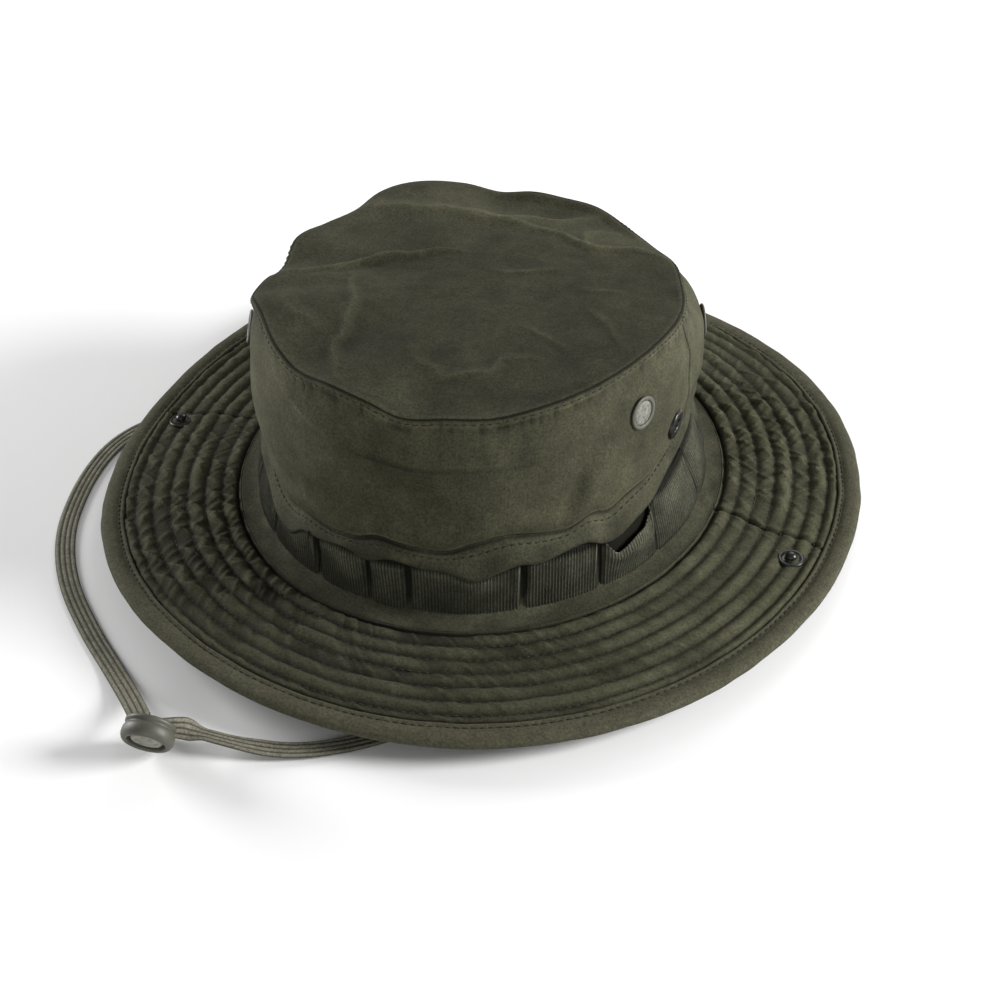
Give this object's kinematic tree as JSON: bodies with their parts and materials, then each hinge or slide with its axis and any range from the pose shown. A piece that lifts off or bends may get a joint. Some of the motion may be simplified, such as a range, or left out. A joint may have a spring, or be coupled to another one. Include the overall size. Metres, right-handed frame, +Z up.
{
  "type": "boonie hat",
  "caption": "Soft round-crowned cloth hat with a wide quilted brim whose sides fold up to snaps, a webbing band with loops, screened vents and a chin strap with a cord lock.",
  "frame": {"origin": "on the ground under the middle of the brim, which stands on z = 0 with its strap under it", "axes": "+Z up, -Y to the front of the hat, +X to the right seen from the front"},
  "size_m": [0.3096, 0.3542, 0.104],
  "materials": {
    "ripstop_cloth": "matte cotton-polyester cloth, washed and slightly creased",
    "binding_tape": "matte bias tape",
    "interlining_felt": "stiff felt",
    "grosgrain_webbing": "ribbed nylon webbing",
    "sweatband_cloth": "soft twill",
    "seam_tape": "narrow twill tape",
    "braided_strap": "flat braided cord with ribs along it",
    "lock_plastic": "satin moulded plastic",
    "button_plastic": "satin moulded plastic",
    "spring_steel": "bright wire",
    "vent_mesh": "fine painted screen",
    "vent_metal": "satin paint",
    "snap_metal": "dark satin paint, worn at the rim"
  },
  "bodies": {
    "hat": {"brim_binding_back": "binding_tape", "brim_binding_front": "binding_tape", "brim_interlining_back": "interlining_felt", "brim_interlining_front": "interlining_felt", "brim_top_back": "ripstop_cloth", "brim_top_front": "ripstop_cloth", "brim_underside_back": "ripstop_cloth", "brim_underside_front": "ripstop_cloth", "chin_strap_left": "braided_strap", "chin_strap_right": "braided_strap", "crown_seam_tape": "seam_tape", "crown_side_back": "ripstop_cloth", "crown_side_front": "ripstop_cloth", "crown_top": "ripstop_cloth", "lock_body": "lock_plastic", "lock_spring": "spring_steel", "lower_band": "ripstop_cloth", "snap_cap_left": "snap_metal", "snap_cap_right": "snap_metal", "snap_socket_left": "snap_metal", "snap_socket_right": "snap_metal", "strap_tab_left": "seam_tape", "strap_tab_right": "seam_tape", "sweatband": "sweatband_cloth", "vent_eyelet_left_back": "vent_metal", "vent_eyelet_left_front": "vent_metal", "vent_eyelet_right_back": "vent_metal", "vent_eyelet_right_front": "vent_metal", "vent_screen_left_back": "vent_mesh", "vent_screen_left_front": "vent_mesh", "vent_screen_right_back": "vent_mesh", "vent_screen_right_front": "vent_mesh", "vent_washer_left_back": "vent_metal", "vent_washer_left_front": "vent_metal", "vent_washer_right_back": "vent_metal", "vent_washer_right_front": "vent_metal", "webbing_loops": "grosgrain_webbing"},
    "left_brim": {"brim_binding_left": "binding_tape", "brim_interlining_left": "interlining_felt", "brim_top_left_back": "ripstop_cloth", "brim_top_left_front": "ripstop_cloth", "brim_underside_left_back": "ripstop_cloth", "brim_underside_left_front": "ripstop_cloth", "snap_post_left": "snap_metal", "snap_stud_left": "snap_metal"},
    "right_brim": {"brim_binding_right": "binding_tape", "brim_interlining_right": "interlining_felt", "brim_top_right_back": "ripstop_cloth", "brim_top_right_front": "ripstop_cloth", "brim_underside_right_back": "ripstop_cloth", "brim_underside_right_front": "ripstop_cloth", "snap_post_right": "snap_metal", "snap_stud_right": "snap_metal"},
    "button": {"lock_button": "button_plastic"}
  },
  "joints": [
    {"name": "left_brim_fold", "type": "hinge", "parent": "hat", "child": "left_brim", "pos_m": [-0.098, 0, 0.011], "axis": [0, 1, 0], "range_deg": [0, 92], "stiffness_Nm_per_rad": 0.01},
    {"name": "right_brim_fold", "type": "hinge", "parent": "hat", "child": "right_brim", "pos_m": [0.098, 0, 0.011], "axis": [0, -1, 0], "range_deg": [0, 92], "stiffness_Nm_per_rad": 0.01},
    {"name": "lock_button_press", "type": "slide", "parent": "hat", "child": "button", "axis": [-0.1554, 0.8964, 0.4151], "range_m": [0, 0.0007], "stiffness_N_per_m": 800, "springref_m": -0.0006, "deforming": ["lock_spring"]}
  ]
}
